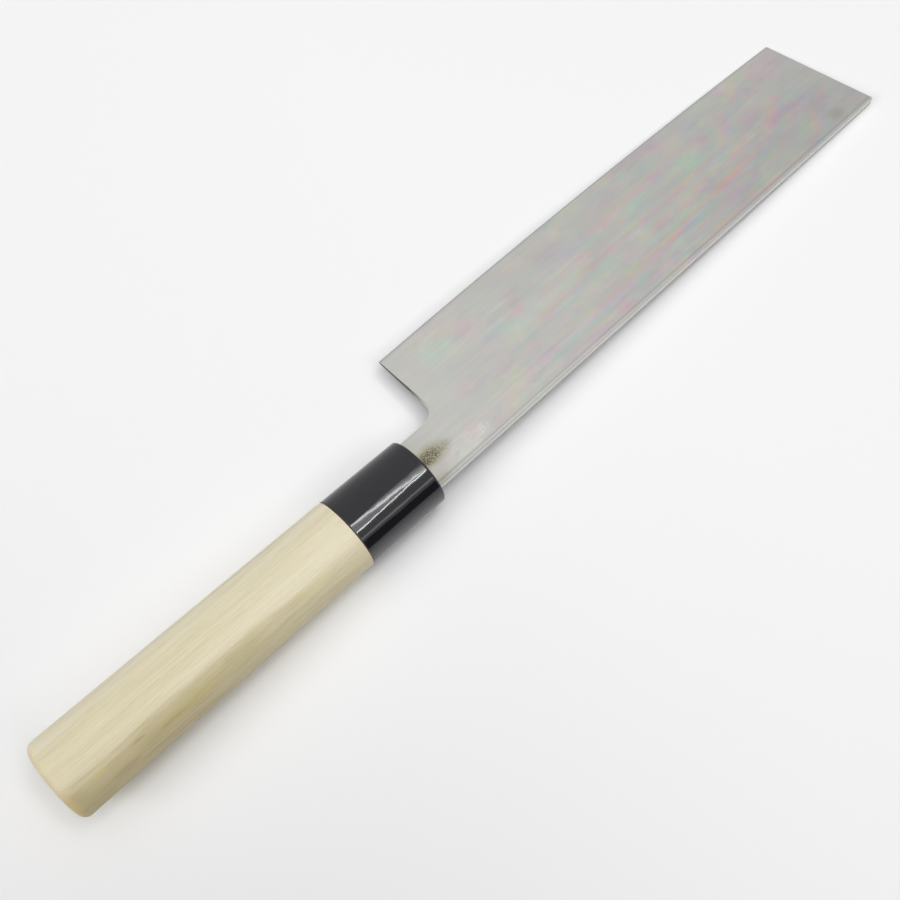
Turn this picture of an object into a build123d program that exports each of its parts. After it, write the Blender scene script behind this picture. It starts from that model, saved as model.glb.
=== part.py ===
from build123d import *
from math import asin, degrees, radians, sqrt, tan
import os

# Nakiri knife lying on its right flank on a table, in millimetres and degrees.
# The pieces are drawn in handle axes and laid down at the end.
# Handle axes: X runs along the handle towards the tip, Y points from the spine
# to the cutting edge, Z points out of the left flank, and the origin is the
# centre of the ferrule's front face.

# Blade
edge_length = 180.0        # cutting edge, heel corner to tip corner
edge_belly = 1.25          # how far the edge bows out of its chord
heel_height = 42.2         # spine to heel corner
tip_height = 40.0          # spine to tip corner
spine_length = 201.8       # ferrule face to the square tip, along the spine
spine_drop = 8.2           # spine line below the handle axis, on the far side from the edge
neck_length = 16.1         # ferrule face to the heel
neck_height = 17.5
choil_radius = 5.4         # round corner between neck and heel
spine_thickness = 3.8      # over the heel
heel_shoulder = 0.6        # blade thickness where the bevels start, at the heel
tip_shoulder = 0.44        # the same at the tip
spine_easing = 0.8         # radius that takes the sharpness off the spine
bevel_angle = 17.0         # each ground bevel, from the middle plane
blade_tilt = 0.85          # blade leans towards the edge side of the handle axis

# Hard edge steel, forge welded into a slit along the edge
insert_depth = 12.0
insert_thickness = 0.3

# Tang
tang_length = 92.0
tang_root_height = 10.0
tang_end_height = 5.5
tang_root_thickness = 2.6
tang_end_thickness = 1.8

# Handle: oval sections, width across the edge direction
ferrule_length = 27.6
front_width = 22.2
front_thickness = 18.4
joint_width = 22.8
joint_thickness = 19.0
butt_width = 24.4
butt_thickness = 20.6
handle_length = 125.4
rim_easing = 0.8           # front rim of the ferrule
butt_easing = 2.5          # rounded rim of the butt
butt_crown = 0.6           # how far the hand-shaped butt bulges across its width

# Ferrule seat
ferrule_wall = 3.2         # around the tenon, at the joint
ferrule_face_wall = 5.0    # closed front that the tang passes through
tenon_fit = 0.1            # glue line round the tenon and at its end
tang_fit = 0.1             # room round the tang in its burnt hole
tang_end_room = 2.0        # free depth past the end of the tang

# Construction
overrun = 1.0              # how far cutters and blanks run past what they cut

# Derived places in blade axes, which share the origin and lean with the blade
spine_y = -spine_drop
neck_y = spine_y + neck_height
heel_y = spine_y + heel_height
tip_y = spine_y + tip_height
edge_reach = sqrt(edge_length**2 - (heel_height - tip_height) ** 2)
tip_x = neck_length + edge_reach


def section(x, width, thickness):
    """Oval section of the handle at x."""
    plane = Plane(origin=(x, 0, 0), x_dir=(0, 1, 0), z_dir=(1, 0, 0))
    return plane * Ellipse(width / 2, thickness / 2)


def half_thickness(x, y):
    """Half the blade's thickness on its flat flanks, which are true planes."""
    fall_y = (spine_thickness - heel_shoulder) / heel_height
    fall_x = (heel_shoulder - tip_shoulder - fall_y * (tip_y - heel_y)) / edge_reach
    return (heel_shoulder + fall_y * (heel_y - y) + fall_x * (neck_length - x)) / 2


def blade_outline():
    """Side view of the blade and neck, left standing proud along the edge."""
    stock_y = heel_y + edge_belly + overrun
    lean_share = (stock_y - tip_y) / tip_height
    stock_x = tip_x + lean_share * (tip_x - spine_length)
    path = [
        Line((-overrun, spine_y), (spine_length, spine_y)),
        Line((spine_length, spine_y), (stock_x, stock_y)),
        Line((stock_x, stock_y), (neck_length, stock_y)),
        Line((neck_length, stock_y), (neck_length, neck_y + choil_radius)),
        RadiusArc(
            (neck_length, neck_y + choil_radius),
            (neck_length - choil_radius, neck_y),
            choil_radius,
        ),
        Line((neck_length - choil_radius, neck_y), (-overrun, neck_y)),
        Line((-overrun, neck_y), (-overrun, spine_y)),
    ]
    return make_face(path)


def flank_plane(side):
    """Plane of the flat left (1) or right (-1) flank, facing out of the blade."""
    heel, tip, back = (
        Vector(x, y, side * half_thickness(x, y))
        for x, y in ((neck_length, heel_y), (tip_x, tip_y), (neck_length, spine_y))
    )
    return Plane(origin=heel, z_dir=(back - heel).cross(tip - heel) * side)


def bevel_envelope():
    """Turned solid whose V-shaped rim grinds both bevels along the curved edge."""
    radius = edge_length**2 / (8 * edge_belly) + edge_belly / 2
    chord_middle = Vector((neck_length + tip_x) / 2, (heel_y + tip_y) / 2)
    outward = Vector(heel_y - tip_y, edge_reach).normalized()
    centre = chord_middle + outward * (edge_belly - radius)
    half = spine_thickness / 2 + overrun
    bevel_rise = half / tan(radians(bevel_angle))
    inner = radius - 2 * heel_height
    sector = 2 * degrees(asin(spine_length / radius))
    across = Plane(origin=centre, x_dir=outward, z_dir=(outward.Y, -outward.X, 0))
    rim = across * Polygon(
        (radius, 0),
        (radius - bevel_rise, half),
        (inner, half),
        (inner, -half),
        (radius - bevel_rise, -half),
        align=None,
    )
    axle = Axis(centre, (0, 0, 1))
    start = rim.rotate(axle, -sector / 2)
    return revolve(start, axle, sector)


def blade_blank():
    """Finished outer form of blade and neck, in blade axes."""
    blank = extrude(blade_outline(), spine_thickness, both=True)
    for side in (1, -1):
        blank = split(blank, bisect_by=flank_plane(side), keep=Keep.BOTTOM)
    spine_face = blank.faces().sort_by(Axis.Y)[0]
    spine_edges = spine_face.edges().sort_by(SortBy.LENGTH)[-2:]
    blank = fillet(spine_edges, spine_easing)
    return blank & bevel_envelope()


def insert_slab():
    """Slab that the edge steel fills, along the edge chord and through both ends."""
    root_drop = (heel_height - tip_height) / edge_reach
    ahead = spine_length - tip_x + overrun
    far_y = heel_y + edge_belly + overrun
    slab = Polygon(
        (neck_length - overrun, heel_y - insert_depth + root_drop * overrun),
        (tip_x + ahead, tip_y - insert_depth - root_drop * ahead),
        (tip_x + ahead, far_y),
        (neck_length - overrun, far_y),
        align=None,
    )
    return extrude(slab, insert_thickness / 2, both=True)


def tang(fit=0.0, end_room=0.0):
    """Tapered tang behind the ferrule face, grown by fit for its hole."""
    room_share = end_room / tang_length
    end_height = tang_end_height - room_share * (tang_root_height - tang_end_height)
    end_thickness = tang_end_thickness - room_share * (tang_root_thickness - tang_end_thickness)
    root_plane = Plane(origin=(0, 0, 0), x_dir=(0, 1, 0), z_dir=(-1, 0, 0))
    end_plane = root_plane.offset(tang_length + end_room)
    root = root_plane * Rectangle(tang_root_height + 2 * fit, tang_root_thickness + 2 * fit)
    end = end_plane * Rectangle(end_height + 2 * fit, end_thickness + 2 * fit)
    return loft([root, end], ruled=True)


def blade_pieces():
    """Soft body with neck and tang, and the hard edge steel in its slit."""
    blank = blade_blank()
    slab = insert_slab()
    lean = Rot(0, 0, blade_tilt)
    body = lean * (blank - slab)
    behind_face = Pos(-spine_length / 2, 0, 0) * Box(spine_length, 2 * heel_height, 2 * heel_height)
    body = (body - behind_face) + tang()
    edge_steel = lean * (blank & slab)
    return body, edge_steel


def grip():
    """Wooden grip with its tenon and the burnt hole for the tang."""
    body = loft(
        [section(-handle_length, butt_width, butt_thickness), section(-ferrule_length, joint_width, joint_thickness)],
        ruled=True,
    )
    crown_radius = butt_width**2 / (8 * butt_crown) + butt_crown / 2
    body = body & Pos(crown_radius - handle_length, 0, 0) * Sphere(crown_radius)
    butt_face = body.faces().sort_by(Axis.X)[0]
    body = fillet(butt_face.edges(), butt_easing)
    tenon_section = section(
        -ferrule_length,
        joint_width - 2 * (ferrule_wall + tenon_fit),
        joint_thickness - 2 * (ferrule_wall + tenon_fit),
    )
    tenon = extrude(tenon_section, ferrule_length - ferrule_face_wall - tenon_fit, dir=(1, 0, 0))
    return body + tenon - tang(tang_fit, tang_end_room)


def ferrule():
    """Black cap with a closed front, bored for the tenon and slotted for the tang."""
    cap = loft(
        [section(-ferrule_length, joint_width, joint_thickness), section(0, front_width, front_thickness)],
        ruled=True,
    )
    front_face = cap.faces().sort_by(Axis.X)[-1]
    cap = fillet(front_face.edges(), rim_easing)
    bore_section = section(
        -ferrule_length - overrun,
        joint_width - 2 * ferrule_wall,
        joint_thickness - 2 * ferrule_wall,
    )
    bore = extrude(bore_section, ferrule_length + overrun - ferrule_face_wall, dir=(1, 0, 0))
    return cap - bore - tang(tang_fit)


def table_plane():
    """Table in handle axes: it touches the ferrule's lower rim and both corners of the tip."""
    lean = Rot(0, 0, blade_tilt)
    foot = Vector(-rim_easing, 0, -front_thickness / 2)
    bevel_rise = tip_shoulder / 2 / tan(radians(bevel_angle))
    spine_corner = Vector(spine_length, spine_y + spine_easing, -half_thickness(spine_length, spine_y))
    edge_corner = Vector(tip_x, tip_y - bevel_rise, -half_thickness(tip_x, tip_y))
    spine_corner = (lean * Pos(spine_corner)).position
    edge_corner = (lean * Pos(edge_corner)).position
    upward = (spine_corner - foot).cross(edge_corner - foot).normalized()
    return Plane(origin=foot, x_dir=Vector(1, 0, 0) - upward * upward.X, z_dir=upward)


def lay_down(pieces):
    """Set the knife on the table with the origin under the middle of its box."""
    to_table = table_plane().location.inverse()
    laid = {name: to_table * piece for name, piece in pieces.items()}
    box = Compound(list(laid.values())).bounding_box()
    centred = Pos(-(box.min.X + box.max.X) / 2, -(box.min.Y + box.max.Y) / 2, -box.min.Z)
    return {name: centred * piece for name, piece in laid.items()}


blade_body, edge_steel = blade_pieces()
knife = {
    "blade_body": blade_body,
    "edge_steel": edge_steel,
    "ferrule": ferrule(),
    "grip": grip(),
}
os.makedirs("parts", exist_ok=True)
for name, piece in lay_down(knife).items():
    export_step(piece, f"parts/{name}.step")
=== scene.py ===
import bmesh
import bpy
from math import cos, pi, radians, sin
from mathutils import Euler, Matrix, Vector

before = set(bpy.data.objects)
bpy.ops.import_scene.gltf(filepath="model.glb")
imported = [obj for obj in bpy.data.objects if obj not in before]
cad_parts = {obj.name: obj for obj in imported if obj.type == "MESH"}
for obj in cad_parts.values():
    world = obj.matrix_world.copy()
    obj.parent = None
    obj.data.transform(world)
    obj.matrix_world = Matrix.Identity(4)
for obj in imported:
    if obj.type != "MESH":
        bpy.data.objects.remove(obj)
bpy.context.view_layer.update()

# Camera: above the knife and over its butt, looking down 67 degrees, with the
# blade running away to the upper right of a square picture.
aim = Vector((-0.02481, -0.01045, 0.0))
round_the_knife = radians(-43.698)
above_the_table = radians(67.336)
eye_to_aim = 0.33824
back_from_aim = Vector((
    sin(round_the_knife) * cos(above_the_table),
    -cos(round_the_knife) * cos(above_the_table),
    sin(above_the_table),
))
eye = bpy.data.cameras.new("eye")
eye.sensor_width = 36.0
eye.lens = 46.09
eye.clip_start = 0.01
eye.clip_end = 20.0
camera = bpy.data.objects.new("camera", eye)
camera.location = aim + back_from_aim * eye_to_aim
camera.rotation_mode = "QUATERNION"
camera.rotation_quaternion = (-back_from_aim).to_track_quat("-Z", "Y")
bpy.context.scene.collection.objects.link(camera)
bpy.context.scene.camera = camera


# Blade body: soft iron forged to a long flat taper, with the neck and the tang
# drawn out of the same bar. The flanks are ground lengthwise and left satin,
# with bands of temper colour and a rust stain where the neck meets the ferrule.
ferrule_face = (-38.2, -11.76, 9.185)
blade_axes = (ferrule_face, (radians(-2.576), radians(2.203), radians(0.850)))
mm = 0.001


def new_finish(name):
    """An empty finish, with its shader joined to the surface."""
    finish = bpy.data.materials.new(name)
    finish.use_nodes = True
    return finish, finish.node_tree.nodes["Principled BSDF"]


def step(beside, kind, inputs=None, **settings):
    """One more node in a finish, or beside a socket. Inputs are sockets to join or values."""
    steps = beside.id_data if isinstance(beside, bpy.types.NodeSocket) else beside.node_tree
    node = steps.nodes.new("ShaderNode" + kind)
    for name, value in settings.items():
        setattr(node, name, value)
    for name, value in (inputs or {}).items():
        if isinstance(value, bpy.types.NodeSocket):
            steps.links.new(value, node.inputs[name])
        else:
            node.inputs[name].default_value = value
    return node


def place(finish, axes, size, spot=(0.0, 0.0, 0.0)):
    """Counts along the piece's own axes from a spot, in steps of this size in millimetres."""
    corner, turn = axes
    start = (Vector(corner) + Euler(turn).to_matrix() @ Vector(spot)) * mm
    where = step(finish, "TexCoord").outputs["Object"]
    inputs = {"Vector": where, "Location": start, "Rotation": turn, "Scale": Vector(size) * mm}
    return step(finish, "Mapping", inputs, vector_type="TEXTURE").outputs["Vector"]


def along_axes(finish, axes, spot=(0.0, 0.0, 0.0)):
    """Millimetres from a spot along each of the piece's own axes."""
    where = place(finish, axes, (1.0, 1.0, 1.0), spot)
    return step(finish, "SeparateXYZ", {"Vector": where}).outputs


def clouds(finish, axes, size, detail, rough):
    """A soft uneven pattern, as a value and as a colour, with one cloud to each step."""
    where = place(finish, axes, size)
    inputs = {"Vector": where, "Scale": 1.0, "Detail": detail, "Roughness": rough}
    return step(finish, "TexNoise", inputs).outputs


def cloudy(finish, axes, size, detail=2.0, rough=0.5):
    """The value of a soft uneven pattern, from 0 to 1."""
    return clouds(finish, axes, size, detail, rough)["Fac"]


def oval(finish, axes, spot, size):
    """A soft oval mark: 1 at the spot and 0 from its rim outwards."""
    where = place(finish, axes, size, spot)
    return step(finish, "TexGradient", {"Vector": where}, gradient_type="SPHERICAL").outputs["Fac"]


def between(value, low, high, to_low=0.0, to_high=1.0):
    """Takes a value from one range to another, smoothly, and holds it at the ends."""
    inputs = {"Value": value, "From Min": low, "From Max": high}
    inputs.update({"To Min": to_low, "To Max": to_high})
    return step(value, "MapRange", inputs, interpolation_type="SMOOTHSTEP").outputs["Result"]


def plus(first, second):
    """The sum of two values."""
    return step(first, "Math", {0: first, 1: second}, operation="ADD").outputs["Value"]


def times(first, second):
    """The product of two values."""
    return step(first, "Math", {0: first, 1: second}, operation="MULTIPLY").outputs["Value"]


def tint(share, first, second, how="MIX"):
    """Lays the second colour over the first by a share."""
    node = step(share, "Mix", data_type="RGBA", blend_type=how, clamp_factor=True)
    share_socket, first_socket, second_socket = node.inputs[0], node.inputs[6], node.inputs[7]
    share.id_data.links.new(share, share_socket)
    for socket, colour in ((first_socket, first), (second_socket, second)):
        if isinstance(colour, bpy.types.NodeSocket):
            share.id_data.links.new(colour, socket)
        else:
            socket.default_value = (*colour, 1.0)
    return node.outputs[2]


def bands(value, stops):
    """Colours in order along a value from 0 to 1."""
    node = step(value, "ValToRGB", {"Fac": value})
    ramp = node.color_ramp.elements
    (ramp[0].position, first), *middle, (ramp[1].position, last) = stops
    ramp[0].color, ramp[1].color = (*first, 1.0), (*last, 1.0)
    for position, colour in middle:
        ramp.new(position).color = (*colour, 1.0)
    return node.outputs["Color"]


def relief(height, strength, depth):
    """Fine relief in the surface, this many millimetres deep."""
    inputs = {"Height": height, "Strength": strength, "Distance": depth * mm}
    return step(height, "Bump", inputs).outputs["Normal"]


def apply(shine, **inputs):
    """Gives a shader its inputs, which are sockets to join or values."""
    for name, value in inputs.items():
        socket = shine.inputs[name.replace("_", " ")]
        if isinstance(value, bpy.types.NodeSocket):
            shine.id_data.links.new(value, socket)
        else:
            socket.default_value = value


iron, shine = new_finish("satin_iron")
on_blade = along_axes(iron, blade_axes)
lengthwise = on_blade["X"]
spine_to_edge = on_blade["Y"]
brushing = cloudy(iron, blade_axes, (22.0, 0.32, 4.0), 3.0, 0.6)
grinding = cloudy(iron, blade_axes, (60.0, 1.6, 10.0), 2.0, 0.5)

# Painted light and shade: the iron is painted paler at the heel and darker towards the tip, the
# spine and the neck, where its reflections darken.
colour = tint(between(lengthwise, 0.0, 150.0), (0.588, 0.588, 0.553), (0.515, 0.512, 0.488))
painted_shade_to_tip_spine = times(between(lengthwise, 70.0, 190.0), between(spine_to_edge, 30.0, -6.0))
colour = tint(times(painted_shade_to_tip_spine, 0.5), colour, (0.40, 0.40, 0.385))
colour = tint(between(spine_to_edge, 16.0, -6.0, 0.0, 0.13), colour, (0.40, 0.40, 0.385))
colour = tint(between(lengthwise, 16.0, 2.0, 0.0, 0.20), colour, (0.40, 0.40, 0.36))

# Temper bands run with the blade, about 5 mm apart. Near the tip they turn to the edge.
slant = plus(lengthwise, times(spine_to_edge, 1.2))
swing = between(slant, 157.0, 215.0, 0.0, -2.6)
rise = plus(times(spine_to_edge, 0.2), times(lengthwise, -0.008))
wide_drift = times(cloudy(iron, blade_axes, (60.0, 12.0, 20.0), 1.0, 0.4), 1.1)
fine_drift = times(cloudy(iron, blade_axes, (13.0, 2.4, 10.0), 2.0, 0.6), 0.9)
phase = plus(plus(rise, swing), plus(wide_drift, fine_drift))
fraction = step(iron, "Math", {0: times(phase, 0.5)}, operation="FRACT").outputs["Value"]
hue = bands(fraction, (
    (0.0, (0.47, 0.53, 0.48)),
    (0.09, (0.45, 0.52, 0.53)),
    (0.17, (0.51, 0.49, 0.54)),
    (0.25, (0.60, 0.45, 0.49)),
    (0.34, (0.57, 0.49, 0.44)),
    (0.45, (0.49, 0.53, 0.46)),
    (0.58, (0.49, 0.51, 0.51)),
    (0.70, (0.52, 0.49, 0.51)),
    (0.80, (0.54, 0.48, 0.49)),
    (0.90, (0.50, 0.51, 0.47)),
    (1.0, (0.47, 0.53, 0.48)),
))

# They are faint near the heel, the tip and the edge, on the spine, and in patches.
along_share = between(lengthwise, 14.0, 110.0, 0.15, 1.0)
tip_share = between(lengthwise, 190.0, 174.0, 0.15, 1.0)
edge_share = between(spine_to_edge, 26.0, 11.0, 0.35, 1.0)
patchy = between(cloudy(iron, blade_axes, (22.0, 4.0, 20.0), 3.0, 0.6), 0.36, 0.58, 0.25, 1.0)
off_spine = between(spine_to_edge, -7.7, -6.6, 0.3, 1.0)
hue_share = times(times(along_share, tip_share), times(edge_share, times(patchy, off_spine)))
colour = tint(hue_share, colour, hue, "OVERLAY")

# Over the bands the temper colour lies in soft patches, which differ little in blue.
patches = clouds(iron, blade_axes, (12.0, 6.5, 14.0), 2.0, 0.6)["Color"]
less_blue = {0: patches, 1: (1.0, 0.96, 0.4), 2: (0.015, 0.0, 0.29)}
patches = step(iron, "VectorMath", less_blue, operation="MULTIPLY_ADD").outputs["Vector"]
sheen_share = cloudy(iron, blade_axes, (26.0, 11.0, 30.0), 2.0, 0.6)
sheen_share = between(sheen_share, 0.38, 0.62, 0.14, 0.36)
sheen_share = times(sheen_share, times(between(lengthwise, 5.0, 40.0, 0.2, 1.0), off_spine))
colour = tint(sheen_share, colour, patches, "OVERLAY")

# Brushing and grinding lines are a little darker than the iron between them.
colour = tint(between(brushing, 0.3, 0.7, 0.14, 0.0), colour, (0.30, 0.30, 0.29))
colour = tint(between(grinding, 0.3, 0.7, 0.10, 0.0), colour, (0.36, 0.36, 0.35))

# Rust has crept out of the ferrule on the upper flank. A rubbed patch lies beside it,
# and there is a dull smudge near the tip.
speckle = cloudy(iron, blade_axes, (0.55, 0.45, 0.5), 3.0, 0.65)
mottle = cloudy(iron, blade_axes, (1.6, 1.0, 0.9), 3.0, 0.6)
rubbed = oval(iron, blade_axes, (15.5, -3.8, 1.8), (11.5, 4.0, 2.8))
rubbed = times(rubbed, between(mottle, 0.30, 0.62))
colour = tint(between(rubbed, 0.0, 0.5, 0.0, 0.38), colour, (0.66, 0.655, 0.62))
bright = oval(iron, blade_axes, (21.4, -3.6, 1.8), (3.6, 2.2, 2.5))
bright = times(bright, between(speckle, 0.35, 0.62))
colour = tint(between(bright, 0.0, 0.5, 0.0, 0.32), colour, (0.80, 0.79, 0.77))
halo = plus(oval(iron, blade_axes, (4.8, 0.6, 1.6), (9.5, 4.8, 3.0)), times(mottle, 0.4))
colour = tint(between(halo, 0.25, 0.85, 0.0, 0.75), colour, (0.38, 0.35, 0.24))
root = plus(oval(iron, blade_axes, (0.6, 0.6, 1.6), (4.2, 3.4, 2.5)), times(speckle, 0.6))
colour = tint(between(root, 0.45, 0.95, 0.0, 0.75), colour, (0.22, 0.15, 0.12))
core = between(oval(iron, blade_axes, (4.4, 0.5, 1.6), (5.6, 3.2, 2.5)), 0.05, 0.6)
rust = times(core, between(speckle, 0.38, 0.60, 0.12, 1.0))
colour = tint(times(rust, 0.85), colour, (0.10, 0.085, 0.045))
tail = between(oval(iron, blade_axes, (10.2, 0.2, 1.6), (3.8, 2.2, 2.5)), 0.05, 0.7)
tail = times(tail, between(speckle, 0.45, 0.60))
colour = tint(times(tail, 0.5), colour, (0.17, 0.16, 0.11))
spine_stain = oval(iron, blade_axes, (2.2, -6.6, 1.8), (5.0, 2.4, 2.5))
colour = tint(between(spine_stain, 0.0, 0.8, 0.0, 0.5), colour, (0.40, 0.37, 0.26))
smudge = oval(iron, blade_axes, (188.0, -3.5, 1.5), (5.0, 3.4, 2.5))
colour = tint(between(smudge, 0.0, 0.9, 0.0, 0.5), colour, (0.30, 0.31, 0.255))

# The spine was left coarser than the flanks. Painted shade darkens its eased corner and its lower
# half, and a painted highlight makes its upper half pale. The face cut at the heel is coloured
# near black.
# Painted shade along the spine's eased corner.
corner = times(between(spine_to_edge, -6.3, -6.8), between(spine_to_edge, -7.7, -7.1))
colour = tint(times(corner, 0.28), colour, (0.28, 0.28, 0.27))
spine = between(spine_to_edge, -7.3, -7.8)
up_spine = on_blade["Z"]
# Painted highlight: a pale strip on the spine's upper half.
strip = times(between(up_spine, 1.8, 1.1), between(up_spine, -0.7, -0.1))
colour = tint(times(spine, times(strip, 0.65)), colour, (0.80, 0.80, 0.78))
# Painted shade on the spine's lower half, which faces the table.
colour = tint(times(spine, between(up_spine, -0.1, -0.9, 0.0, 0.42)), colour, (0.28, 0.28, 0.27))
heel_cut = 16.14
behind_heel = between(lengthwise, heel_cut + 0.10, heel_cut)
# The face cut at the heel is coloured near black.
scale = times(behind_heel, between(spine_to_edge, 12.5, 22.0))
colour = tint(scale, colour, (0.05, 0.05, 0.05))
dull = plus(times(rust, 0.2), between(spine_to_edge, -6.3, -7.0, 0.0, 0.30))
apply(
    shine, Base_Color=colour, Metallic=1.0,
    Roughness=plus(between(brushing, 0.3, 0.7, 0.36, 0.46), dull),
    Normal=relief(brushing, 0.25, 0.02),
)
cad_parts["blade_body"].data.materials[0] = iron


# Edge steel: thin hard steel forge welded into the slit of the body. Only its
# ground bevel shows, a narrow darker strip left by the stone along the edge.
stone_ground, shine = new_finish("stone_ground_steel")
stone_lines = cloudy(stone_ground, blade_axes, (4.0, 0.12, 2.0))
colour = tint(stone_lines, (0.36, 0.36, 0.35), (0.54, 0.54, 0.52))
on_edge = along_axes(stone_ground, blade_axes)["X"]
# The face cut at the heel is coloured near black here too.
colour = tint(between(on_edge, heel_cut + 0.10, heel_cut), colour, (0.08, 0.08, 0.08))
apply(shine, Base_Color=colour, Metallic=1.0, Roughness=0.34)
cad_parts["edge_steel"].data.materials[0] = stone_ground


# Ferrule: black cap shaped oval, bored for the grip's tenon and polished by hand,
# which leaves shallow waves. A painted reflection makes it paler low on the spine side,
# and the glue shows as a thin brown line where it meets the wood.
handle_axes = (ferrule_face, (radians(-2.609), radians(2.165), 0.0))
polished_black, shine = new_finish("polished_black")
on_ferrule = along_axes(polished_black, handle_axes)
ferrule_end = -27.6
glue_line = between(on_ferrule["X"], ferrule_end + 0.6, ferrule_end + 0.2)
colour = tint(glue_line, (0.010, 0.010, 0.0125), (0.020, 0.012, 0.006))
# Painted reflection of the bright table: paler low on the spine side.
painted_reflection_low_side = between(on_ferrule["Y"], -9.0, -12.2, 0.0, 0.9)
colour = tint(painted_reflection_low_side, colour, (0.14, 0.14, 0.143))
rub_marks = cloudy(polished_black, handle_axes, (9.0, 0.25, 0.25), 2.0)
haze = between(rub_marks, 0.35, 0.75, 0.05, 0.10)
waves = cloudy(polished_black, handle_axes, (5.0, 4.0, 4.0), 1.0)
apply(
    shine, Base_Color=colour, Sheen_Weight=0.04, Sheen_Roughness=0.35,
    Roughness=plus(haze, times(glue_line, 0.5)),
    Normal=relief(waves, 1.0, 0.04),
)
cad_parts["ferrule"].data.materials[0] = polished_black


# Grip: one oval stick of magnolia with the grain along it, sanded and left bare.
# It was cut across pale sapwood and olive heartwood, which shows on the spine side.
magnolia, shine = new_finish("pale_magnolia")
on_grip = along_axes(magnolia, handle_axes)
from_front = on_grip["X"]
fibres = cloudy(magnolia, handle_axes, (17.0, 0.40, 0.40), 3.0, 0.7)
streaks = cloudy(magnolia, handle_axes, (80.0, 3.0, 3.0), 2.0)
pores = cloudy(magnolia, handle_axes, (3.0, 0.14, 0.14), 1.0)

# The pith was 60 mm away on the spine side, so the rings cross the stick as wide arcs.
pith = (0.0, -60.0, 0.0)
from_pith = along_axes(magnolia, handle_axes, pith)
across = step(magnolia, "CombineXYZ", {"Y": from_pith["Y"], "Z": from_pith["Z"]}).outputs["Vector"]
radius = step(magnolia, "VectorMath", {0: across}, operation="LENGTH").outputs["Value"]
wander = cloudy(magnolia, handle_axes, (36.0, 3.2, 3.2), 4.0, 0.65)
radius = plus(radius, times(wander, 6.0))
rings = step(magnolia, "Math", {0: times(radius, 0.75)}, operation="FRACT").outputs["Value"]
late_wood = between(rings, 0.72, 0.98)
heart = between(plus(radius, times(from_front, -0.016)), 59.6, 56.2)
# The heartwood is stronger towards the butt, which also paints the shade that deepens there on the
# spine side.
heart = times(heart, between(from_front, -30.0, -105.0, 0.32, 0.88))

# Pale wood, with a painted highlight making it paler on the edge side, and heartwood, rings,
# fibres and pores in it.
colour = tint(between(from_front, -35.0, -110.0), (0.82, 0.753, 0.562), (0.815, 0.737, 0.52))
# Painted highlight: paler towards the edge side.
colour = tint(between(on_grip["Y"], 3.0, 8.5, 0.0, 0.5), colour, (0.93, 0.88, 0.70))
colour = tint(between(streaks, 0.35, 0.7, 0.0, 0.5), colour, (0.70, 0.63, 0.42))
colour = tint(heart, colour, (0.565, 0.475, 0.27))
veins = between(cloudy(magnolia, handle_axes, (24.0, 1.0, 1.0), 3.0, 0.65), 0.50, 0.66)
colour = tint(times(times(heart, veins), 0.5), colour, (0.40, 0.32, 0.15))
olive = times(heart, between(cloudy(magnolia, handle_axes, (16.0, 3.5, 3.5), 3.0), 0.45, 0.65))
colour = tint(times(olive, 0.5), colour, (0.50, 0.43, 0.20))
colour = tint(times(late_wood, 0.12), colour, (0.52, 0.43, 0.24))
colour = tint(between(fibres, 0.4, 0.7, 0.0, 0.30), colour, (0.56, 0.48, 0.29))
colour = tint(between(pores, 0.62, 0.75, 0.0, 0.18), colour, (0.45, 0.37, 0.21))

# Three thin dark dashes, then olive, tan and brown patches, the last on the butt's rim.
for spot, size, share, mark in (
    ((-93.0, -9.6, 6.0), (5.5, 0.50, 0.6), 0.5, (0.34, 0.29, 0.13)),
    ((-84.5, -9.2, 6.4), (5.0, 0.45, 0.6), 0.3, (0.38, 0.33, 0.16)),
    ((-102.8, -8.3, 7.5), (3.4, 0.30, 0.5), 0.5, (0.30, 0.23, 0.12)),
    ((-87.0, -9.2, 6.5), (12.0, 2.4, 2.4), 0.42, (0.58, 0.50, 0.21)),
    ((-45.0, -8.2, 7.2), (9.0, 2.2, 2.2), 0.30, (0.74, 0.63, 0.32)),
    ((-108.7, -10.8, 4.2), (5.0, 1.5, 1.5), 0.30, (0.42, 0.30, 0.17)),
    ((-114.5, -8.2, 7.6), (3.6, 1.2, 1.2), 0.40, (0.66, 0.55, 0.22)),
    ((-124.6, -9.0, 5.6), (2.6, 6.0, 6.0), 0.45, (0.60, 0.46, 0.19)),
):
    worn = times(oval(magnolia, handle_axes, spot, size), between(fibres, 0.25, 0.55, 0.5, 1.3))
    colour = tint(between(worn, 0.0, 0.6, 0.0, share), colour, mark)
butt = -125.4
end_grain = between(from_front, butt + 3.4, butt + 0.2)
colour = tint(times(end_grain, 0.45), colour, (0.60, 0.46, 0.25))
apply(
    shine, Base_Color=colour, Roughness=between(fibres, 0.3, 0.7, 0.55, 0.68),
    Normal=relief(fibres, 0.4, 0.03),
)
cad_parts["grip"].data.materials[0] = magnolia


# Table: a plain white sheet under the knife, 1.4 m wide.
white_sheet, shine = new_finish("white_sheet")
apply(shine, Base_Color=(0.90, 0.90, 0.905, 1.0), Roughness=0.9, Specular_IOR_Level=0.0)


def flat_sheet(name, half_width, finish):
    """A square sheet, flat on the table's level, in one finish."""
    shape = bmesh.new()
    bmesh.ops.create_grid(shape, x_segments=1, y_segments=1, size=half_width)
    mesh = bpy.data.meshes.new(name)
    shape.to_mesh(mesh)
    shape.free()
    mesh.materials.append(finish)
    sheet = bpy.data.objects.new(name, mesh)
    bpy.context.scene.collection.objects.link(sheet)
    return sheet


table = flat_sheet("table", 0.7, white_sheet)


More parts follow.
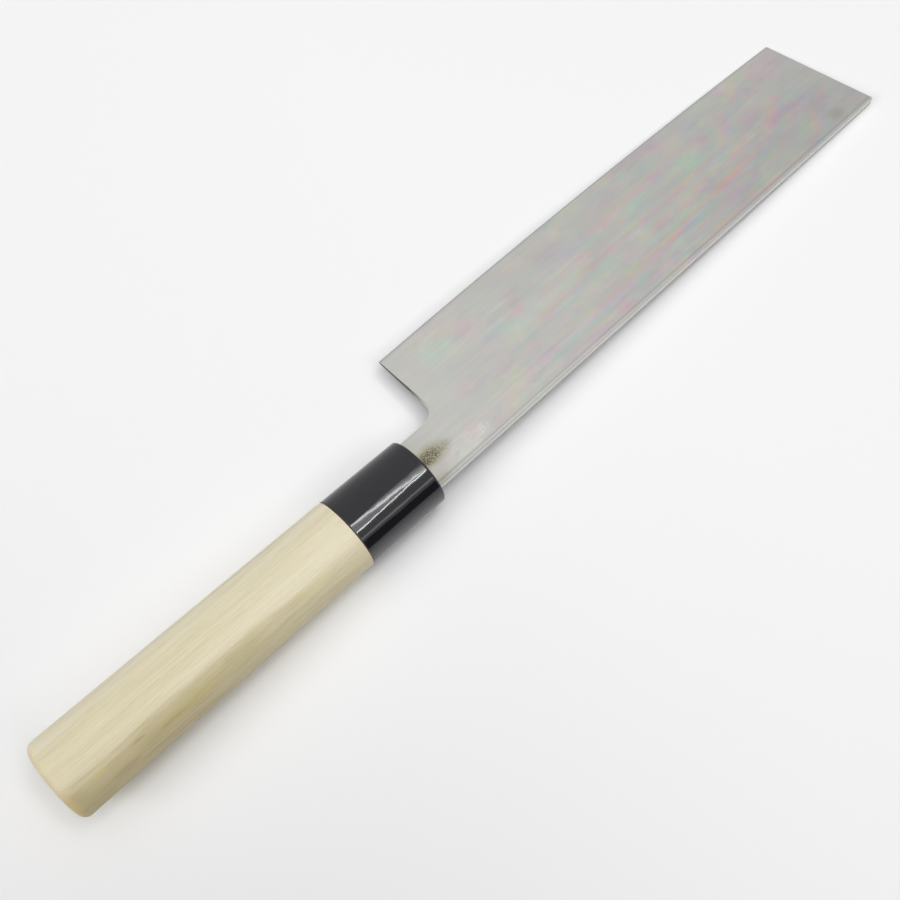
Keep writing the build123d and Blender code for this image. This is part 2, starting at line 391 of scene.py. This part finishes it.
# Light: a soft lamp overhead with bright bars and a faint glow at its rim, under a
# pale ceiling that fades to the walls. A lower lamp beyond the butt is tilted to the
# knife, and two soft lamps hang on the spine side. A dark screen stands on the spine
# side, and a small one hangs above the butt, where a photographer holds the camera.
room = bpy.data.worlds.new("room")
room.use_nodes = True
bpy.context.scene.world = room
air = room.node_tree.nodes["Background"]
apply(air, Color=(1.0, 1.0, 1.005, 1.0))
direction = step(room, "TexCoord").outputs["Generated"]
upward = step(room, "SeparateXYZ", {"Vector": direction}).outputs["Z"]
given_off = between(upward, 0.50, 0.97, 0.04, 1.01)
ray = step(room, "LightPath").outputs
seen = ray["Is Camera Ray"]
for other_ray in ("Is Glossy Ray", "Is Transmission Ray"):
    seen = step(room, "Math", {0: seen, 1: ray[other_ray]}, operation="MAXIMUM").outputs["Value"]
room_as_seen = 0.85
strength = {"Value": seen, "To Min": given_off, "To Max": room_as_seen}
apply(air, Strength=step(room, "MapRange", strength).outputs["Result"])


def lamp(name, shape, middle, size, turn, level, tilt=0.0):
    """A flat lamp of this level seen straight on. It faces down unless it is tilted."""
    light = bpy.data.lights.new(name, "AREA")
    light.shape = shape
    light.size, light.size_y = size
    lit_area = size[0] * size[1] * (pi / 4.0 if shape == "ELLIPSE" else 1.0)
    light.energy = 4.0 * lit_area * level
    holder = bpy.data.objects.new(name, light)
    holder.location = middle
    holder.rotation_euler = (0.0, tilt, turn)
    bpy.context.scene.collection.objects.link(holder)


lamp("soft_lamp", "ELLIPSE", (0.02, -0.44, 2.0), (1.46, 1.16), 0.0, 1.88)
lamp("left_lamp", "ELLIPSE", (-1.28, 0.20, 0.95), (0.71, 1.00), radians(-9.0), 3.8, radians(-54.0))
lamp("lamp_far_rim", "RECTANGLE", (0.54, -0.22, 1.98), (0.54, 0.07), radians(-66.0), 8.0)
lamp("lamp_far_glow", "RECTANGLE", (0.62, -0.17, 1.97), (0.56, 0.20), radians(-66.0), 1.8)
lamp("ceiling_glow", "RECTANGLE", (0.86, -0.08, 1.96), (0.70, 0.40), radians(-66.0), 0.5)
lamp("front_lamp", "RECTANGLE", (-0.25, -1.70, 2.0), (1.40, 1.00), 0.0, 2.3)
lamp("lamp_near_rim", "RECTANGLE", (0.57, -0.70, 1.98), (0.42, 0.036), radians(56.0), 22.0)
lamp("side_window", "RECTANGLE", (0.71, -1.95, 2.0), (0.60, 0.40), 0.0, 1.4)
black_cloth, shine = new_finish("black_cloth")
apply(shine, Base_Color=(0.05, 0.05, 0.05, 1.0), Roughness=1.0, Specular_IOR_Level=0.0)


def dark_screen(name, middle, size, tilt, turn):
    """A black sheet that shades the knife and that the camera doesn't see."""
    screen = flat_sheet(name, 0.5, black_cloth)
    screen.location = middle
    screen.scale = (size[0], size[1], 1.0)
    screen.rotation_euler = (tilt, 0.0, turn)
    screen.visible_camera = False


dark_screen("side_screen", (0.10, -0.90, 0.42), (1.7, 0.6), radians(90.0), radians(-30.0))
dark_screen("overhead_screen", (-0.22, -0.23, 0.36), (0.17, 0.30), 0.0, 0.0)

bpy.context.scene.view_settings.view_transform = "Standard"
